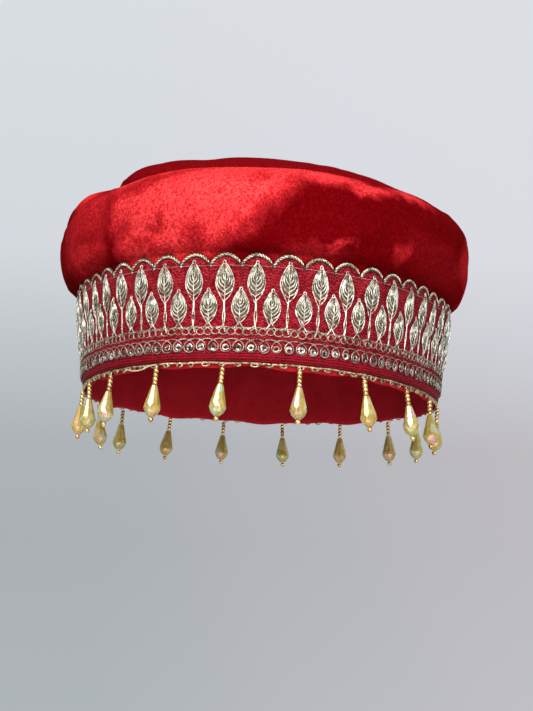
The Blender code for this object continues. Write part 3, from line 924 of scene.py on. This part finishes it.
bm = bmesh.new()
for s in roundRim(loops["large"]["count"]):
    z = sequin["middle"] + rng.uniform(-0.15, 0.15)
    facing = Vector((*rimSpot(s)[2:], 0.05)).to_track_quat("Z", "Y").to_matrix().to_4x4()
    seat = Matrix.Translation(onBorder(s, z, 0.30)) @ facing
    for axis in "XY":
        seat = seat @ Matrix.Rotation(math.radians(rng.uniform(-1, 1) * sequin["tilt"]), 4, axis)
    rings = []
    for radius, height in sequin["rings"]:
        made = bmesh.ops.create_circle(bm, segments=sequin["sides"], radius=radius * mm,
                                       matrix=seat @ Matrix.Translation((0, 0, height * mm)))["verts"]
        rings.append({e for v in made for e in v.link_edges})
    for inner, outer in zip(rings, rings[1:]):
        bmesh.ops.bridge_loops(bm, edges=list(inner | outer))
sequins = finishMesh("sequins", bm, sequinFilm, 40.0)
wallInwards(sequins, sequin["thickness"])

# red stitches that hold the sequins
ties = newThreads("sequinTies", 0.11, 0, maroonThread)
for s in roundRim(loops["large"]["count"]):
    slope = rng.uniform(-0.4, 0.4)
    for sign in (-1, 1):
        addThread(ties, [onBorder(s + sign * aside, sequin["middle"] + slope * sign * share, lift)
                         for aside, share, lift in ((0.0, 0.0, 0.35), (1.0, 0.4, 0.85), (2.3, 1.0, 0.12))])
finishPiece(ties)
print("loops and sequins done")

# Scalloped cord: twisted gold strands in an arc over each scallop, tucked in at the right, with dark stitches

cord = {"strand": 0.34, "offset": 0.42, "strands": 2, "pitch": 2.8, "perTurn": 8, "above": 1.05, "core": 0.45}


def windStrands(piece, line, spiral, closed):
    # strands wound round a line of spots
    ends = line + line[:1] if closed else line
    along = lengthsAlong(ends)
    count = round(along[-1] / (spiral["pitch"] * mm)) * spiral["perTurn"]
    paths = [[] for _ in range(spiral["strands"])]
    for k in range(count if closed else count + 1):
        spot, i = pointAlong(ends, along, along[-1] * k / count)
        ahead = (ends[i + 1] - ends[i]).normalized()
        out = Vector((spot.x, spot.y, 0.0)).normalized()
        across = ahead.cross(out).normalized()
        out = across.cross(ahead)
        for j, path in enumerate(paths):
            a = 2.0 * math.pi * (k / spiral["perTurn"] + j / spiral["strands"])
            path.append(spot + (out * math.cos(a) + across * math.sin(a)) * spiral["offset"] * mm)
    for path in paths:
        addThread(piece, path, closed)


scallopCord = newThreads("scallopCord", cord["strand"], 1, golds["cordGilt"])
# a dark core thread inside the twist, painted shade in the grooves between the strands
cordGrooveShade = newThreads("cordGrooveShade", cord["core"], 0, golds["grooveShadeGilt"])
stitches = newThreads("edgeStitches", 0.24, 0, maroonThread)
for i in range(rim["scallops"]):
    line, over = [], []
    lean = rng.uniform(-0.15, 0.15)
    for t in shares(28):
        s = (i + 0.01 + 0.97 * t) * repeat
        tuck = smoothStep(0.86, 1.0, t)
        rise = cord["above"] - 0.9 * (1.0 - smoothStep(0.0, 0.1, t)) - 0.5 * tuck
        line.append(onBorder(s, scallopHeight(s) + rise + lean * math.sin(math.pi * t), -0.30 - 0.75 * tuck))
    for t in shares(33):
        s = (i + 0.02 + t) * repeat
        wobble = noise.noise(Vector((s * 1.1, 3.0, 0.0)))
        height = cord["above"] + 0.78 + 0.35 * wobble - 0.7 * smoothStep(0.85, 1.0, t)
        over.append(onBorder(s, scallopHeight(s) + height, -0.62 + 0.25 * wobble))
    windStrands(scallopCord, line, cord, False)
    addThread(cordGrooveShade, line)
    addThread(stitches, over)
    # a few stitches fill the notch beside the tucked end
    for k in range(3):
        s = (i + 0.93 + 0.05 * k) * repeat
        addThread(stitches, [onBorder(s - 0.8, ribbon["valley"] + 3.0 - 0.5 * k, -0.3),
                             onBorder(s, ribbon["valley"] + 1.9 - 0.5 * k, 0.1),
                             onBorder(s + 0.5, ribbon["valley"] + 0.4 - 0.3 * k, 0.05)])
addThread(stitches, [onBorder(s, scallopHeight(s) + 0.10 + 0.12 * noise.noise(Vector((i / 2.0, 5, 0))), 0.0)
                     for i, s in enumerate(roundRim(1320))], closed=True)
finishPiece(scallopCord)
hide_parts("scallop_cord")
finishPiece(cordGrooveShade)
finishPiece(stitches)
print("scalloped cord done")

# Braid under the border: a thin twisted cord with a knot of curls every few millimetres

braid = {"strand": 0.27, "offset": 0.25, "strands": 2, "pitch": 2.1, "perTurn": 7, "height": -0.75,
         "knots": 88}

dropBraid = newThreads("dropBraid", braid["strand"], 1, golds["braidGilt"])
windStrands(dropBraid, [place(s, -0.45, braid["height"] + 0.12 * math.sin(62.0 * math.pi * s / rimLength))
                        for s in roundRim(1200)], braid, True)
for i in range(braid["knots"]):
    s = rimLength * (i + rng.uniform(-0.12, 0.12)) / braid["knots"]
    wide, tall = rng.uniform(1.3, 2.0), rng.uniform(0.55, 0.95)
    lean = rng.uniform(-0.5, 0.5)
    spots = []
    for k in range(22):
        a = 2.0 * math.pi * k / 8.5
        spots.append(place(s + wide * math.sin(a) * (1.0 - k / 70.0) + lean * (k / 22.0 - 0.5),
                           -0.5 + 0.35 * math.cos(a * 1.3 + i),
                           braid["height"] - 0.75 + tall * math.cos(a)))
    addThread(dropBraid, spots)
finishPiece(dropBraid)
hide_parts("drop_braid")

# a loose end of gold thread that hangs out at the front left
looseEnd = [(-61, -0.1, -2.6), (-57, 0.7, -1.9), (-52, 0.9, -2.9), (-47, 0.6, -2.7), (-43, 0.3, -1.4),
            (-39, -0.1, -0.9)]
oneThread("looseThread", 0.28, 1, golds["looseGilt"],
          [place(s, out, z) for s, out, z in softPath(looseEnd, 24)])
print("braid done")

# Bead drops

drop = {
    "phase": -0.18, "inset": -0.2, "top": -2.7, "stringLength": 7.3, "beadLength": 13.8, "gap": 0.3,
    "seedRadius": 1.12, "seedHeight": 1.72, "seedHole": 0.36, "seeds": 4, "thread": 0.16,
    "stopBead": (1.15, 1.7, 0.4), "stopKnot": (0.42, 0.5, 0.1),   # radius, height and hole
}

dropHangs = named(
    "shift out along",
    (-0.5, 4, -4), (0.0, 5, -2), (0.8, 8, 3), (1.6, 8, 3), (1.2, 3, 0), (-3.0, -3, 2),
    (8.0, 2, 2), (0.0, 4, -1), (-0.6, 6, 2), (0.4, 5, -2), (0.7, 4, 1), (-0.5, 6, 3),
    (0.0, 5, -1), (-10.0, -2, -8), (6.0, 3, -3), (2.4, -1, -2), (0.0, 5, -2), (0.6, 4, -1))

# rings of the faceted teardrop: depth as a share of its length, radius in millimetres, turn in facets
teardropRings = named(
    "depth radius turn",
    (0.0, 1.35, 0.0), (0.60, 3.55, 0.0), (0.73, 3.78, 0.5), (0.88, 2.95, 0.0), (1.0, 1.30, 0.5))
teardropSides = 10
facetTowards = -100.0   # one long facet faces the window, degrees from +X


def dropMatrix(number):
    hang = dropHangs[number]
    s = (number + drop["phase"]) / rim["drops"] * rimLength + hang["shift"]
    x, y, nx, ny = rimSpot(s)
    top = place(s, drop["inset"], drop["top"])
    facing = Matrix.Rotation(math.atan2(ny, nx), 4, "Z")
    out = Matrix.Rotation(-math.radians(hang["out"]), 4, "Y")
    along = Matrix.Rotation(math.radians(hang["along"]), 4, "X")
    return Matrix.Translation(top) @ facing @ out @ along


# the three glasses differ in the thickness of their colour film
dropGlasses = [tintedMaterial(
    tone + "DropGlass", 190.0, 1.0,
    [(0.30, (0.78, 0.44, 0.40)), (0.37, (0.72, 0.56, 0.16)), (0.50, (0.52, 0.38, 0.07)),
     (0.62, (0.70, 0.60, 0.24)), (0.70, (0.42, 0.70, 0.56))],
    {"Roughness": 0.07, "Metallic": 0.10, "Transmission Weight": 0.42, "IOR": 1.60,
     "Thin Film Thickness": film, "Thin Film IOR": 2.0})
    for tone, film in (("mint", 500.0), ("rose", 390.0), ("clear", 250.0))]
seedGlass = tintedMaterial("seedGlass", 260.0, 1.0, [(0.35, (0.42, 0.22, 0.05)), (0.6, (0.82, 0.58, 0.22))],
                           {"Metallic": 0.8, "Roughness": 0.18, "Coat Weight": 0.8})


def cutTeardrop(matrix, topZ):
    # a hull round the rings gives the flat facets; the two ends are then drilled through
    bm = bmesh.new()
    length = drop["beadLength"]
    for row in teardropRings:
        turn = Matrix.Rotation(row["turn"] * 2.0 * math.pi / teardropSides, 4, "Z")
        lower = Matrix.Translation((0, 0, (topZ - row["depth"] * length) * mm))
        bmesh.ops.create_circle(bm, segments=teardropSides, radius=row["radius"] * mm, matrix=lower @ turn)
    bmesh.ops.convex_hull(bm, input=bm.verts)
    bmesh.ops.dissolve_limit(bm, angle_limit=math.radians(1.0), verts=bm.verts, edges=bm.edges)
    ends = [f for f in bm.faces if abs(f.normal.z) > 0.99]
    bmesh.ops.inset_individual(bm, faces=ends, thickness=0.65 * mm)
    rims = [e for f in ends for e in f.edges]
    bmesh.ops.delete(bm, geom=ends, context="FACES_ONLY")
    bmesh.ops.bridge_loops(bm, edges=rims)
    bmesh.ops.recalc_face_normals(bm, faces=bm.faces)
    bmesh.ops.transform(bm, matrix=matrix, verts=bm.verts)
    return bm


def turnSeed(bm, matrix, radius, height, hole):
    # a small doughnut bead, spun from a rounded section
    middle = (radius + hole) / 2.0 * mm
    wide = (radius - hole) / 2.0 * mm
    section = bmesh.ops.create_circle(bm, segments=8, radius=1.0)["verts"]
    for vert in section:
        vert.co = Vector((middle + vert.co.x * wide, 0.0, vert.co.y * height / 2.0 * mm))
    edges = list({e for v in section for e in v.link_edges})
    before = set(bm.verts) - set(section)
    bmesh.ops.spin(bm, geom=section + edges, cent=(0, 0, 0), axis=(0, 0, 1), dvec=(0, 0, 0),
                   angle=2.0 * math.pi, steps=14, use_merge=True)
    grown = [v for v in bm.verts if v not in before]
    bmesh.ops.transform(bm, matrix=matrix, verts=grown)


for number in range(rim["drops"]):
    label = f"{number + 1:02d}"
    hangsAt = dropMatrix(number)
    beadTop = -drop["stringLength"] - drop["gap"]
    outwards = math.degrees(math.atan2(hangsAt[1][0], hangsAt[0][0]))
    spin = facetTowards - outwards - 90.0 + 180.0 / teardropSides + rng.uniform(-5, 5)
    spun = hangsAt @ Matrix.Rotation(math.radians(spin), 4, "Z")
    glass = finishMesh("dropBead" + label, cutTeardrop(spun, beadTop), dropGlasses[number % 3])
    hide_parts("drop_bead_" + label)

    bm = bmesh.new()
    pitch = drop["stringLength"] / drop["seeds"]
    for k in range(drop["seeds"]):
        rock = Matrix.Rotation(math.radians(rng.uniform(-7, 7)), 4, "Y")
        turnSeed(bm, hangsAt @ Matrix.Translation((0, 0, -(k + 0.5) * pitch * mm)) @ rock,
                 drop["seedRadius"] * rng.uniform(0.94, 1.04), drop["seedHeight"], drop["seedHole"])
    low = beadTop - drop["beadLength"] - drop["gap"]
    turnSeed(bm, hangsAt @ Matrix.Translation((0, 0, (low - 0.9) * mm)), *drop["stopBead"])
    turnSeed(bm, hangsAt @ Matrix.Translation((0, 0, (low - 1.95) * mm)), *drop["stopKnot"])
    bmesh.ops.recalc_face_normals(bm, faces=bm.faces)
    seeds = finishMesh("beadString" + label, bm, seedGlass, 60.0)
    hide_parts("bead_string_" + label)

hangers = newThreads("dropThreads", drop["thread"], 0, golds["looseGilt"])
low = -drop["stringLength"] - drop["beadLength"] - 2.0 * drop["gap"] - 2.1
for number in range(rim["drops"]):
    addThread(hangers, [dropMatrix(number) @ Vector((0, 0, z * mm)) for z in (1.6, 0.0, low / 2.0, low)])
finishPiece(hangers)
print("drops done")

# Floor, backdrop, light and camera

studio = {"wallDistance": 1.2, "floor": -0.5, "aim": (0.0, 0.0, 0.04)}
lamps = {
    "key": {"spot": (-0.26, -1.38, 0.62), "size": (0.8, 0.9), "watts": 21.7, "colour": (1.0, 0.98, 0.96)},
    "window": {"spot": (-0.42, -0.85, 0.86), "size": (0.6, 0.8), "watts": 8.0, "colour": (1.0, 1.0, 1.0)},
    "fill": {"spot": (1.1, -1.1, 0.15), "size": (0.8, 0.8), "watts": 15.5, "colour": (0.95, 0.97, 1.0)},
    "above": {"spot": (-0.2, 0.3, 1.2), "size": (0.9, 0.9), "watts": 3.0, "colour": (1.0, 1.0, 1.0)},
    "below": {"spot": (0.0, -0.5, -0.45), "size": (0.9, 0.5), "watts": 1.6, "colour": (1.0, 0.98, 0.95)},
}


# the backdrop glows with its own light, its colour painted light and shade: lighter at the top and to the
# right, darker low down and to the left
def makeBackdrop():
    made, tree, shader = newMaterial("glowingShadedBackdrop")
    parts = node(tree, "SeparateXYZ", {0: coordinates(tree)})
    height = mapRange(tree, parts["Z"], -0.5, 1.0, 0.0, 1.0)
    left = ramp(tree, height, [
        (0.0, (0.42, 0.46, 0.48)), (0.31, (0.375, 0.405, 0.43)), (0.40, (0.39, 0.42, 0.44)),
        (0.49, (0.50, 0.53, 0.56)), (0.58, (0.63, 0.66, 0.70)), (0.85, (0.67, 0.70, 0.74))])
    right = ramp(tree, height, [
        (0.0, (0.54, 0.54, 0.58)), (0.31, (0.50, 0.48, 0.52)), (0.40, (0.50, 0.47, 0.51)),
        (0.49, (0.60, 0.60, 0.65)), (0.58, (0.68, 0.69, 0.74)), (0.85, (0.69, 0.70, 0.74))])
    across = mapRange(tree, parts["X"], -0.32, 0.36, 0.0, 1.0)
    plugAll(tree, shader, {"Emission Color": mixColour(tree, across, left, right), "Emission Strength": 1.0,
                           "Base Color": (0.02, 0.02, 0.02), "Roughness": 1.0})
    return made


def stagePlane(name, size, matrix, material):
    bm = bmesh.new()
    bmesh.ops.create_grid(bm, x_segments=1, y_segments=1, size=size, matrix=matrix)
    plane = meshObject(name, bm, material)
    scene.collection.objects.link(plane)


upright = Matrix.Rotation(math.pi / 2, 4, "X")
stagePlane("backdrop", 2.5, Matrix.Translation((0, studio["wallDistance"], 1.6)) @ upright, makeBackdrop())
stagePlane("floor", 3.0, Matrix.Translation((0, 0, studio["floor"])),
           tintedMaterial("paleFloor", 6.0, 3.0, [(0.3, (0.40, 0.41, 0.43)), (0.7, (0.45, 0.46, 0.48))],
                          {"Roughness": 0.9}))

for name, lamp in lamps.items():
    data = bpy.data.lights.new(name + "Light", "AREA")
    data.shape = "RECTANGLE"
    data.size, data.size_y = lamp["size"]
    data.energy = lamp["watts"]
    data.color = lamp["colour"]
    light = bpy.data.objects.new(name + "Light", data)
    towards = (Vector(studio["aim"]) - Vector(lamp["spot"])).to_track_quat("-Z", "Y")
    light.matrix_world = Matrix.LocRotScale(lamp["spot"], towards, None)
    scene.collection.objects.link(light)

world = bpy.data.worlds.new("paleRoom")
world.use_nodes = True
sky = world.node_tree
plugAll(sky, sky.nodes["Background"], {"Color": (0.86, 0.88, 0.92), "Strength": 0.34})
scene.world = world
scene.view_settings.view_transform = "Standard"

# the camera stands a little below the rim and to the right of the front, looking slightly up
view = {"spot": (0.0633, -0.6892, -0.0978), "turn": (99.66, -2.3187, 4.5574), "lens": 70.886}

camera = bpy.data.objects.new("photoCamera", bpy.data.cameras.new("photoCamera"))
camera.data.sensor_width = 36.0
camera.data.lens = view["lens"]
turned = Euler([math.radians(turn) for turn in view["turn"]])
camera.matrix_world = Matrix.LocRotScale(view["spot"], turned, None)
scene.collection.objects.link(camera)
scene.camera = camera
print("studio done")
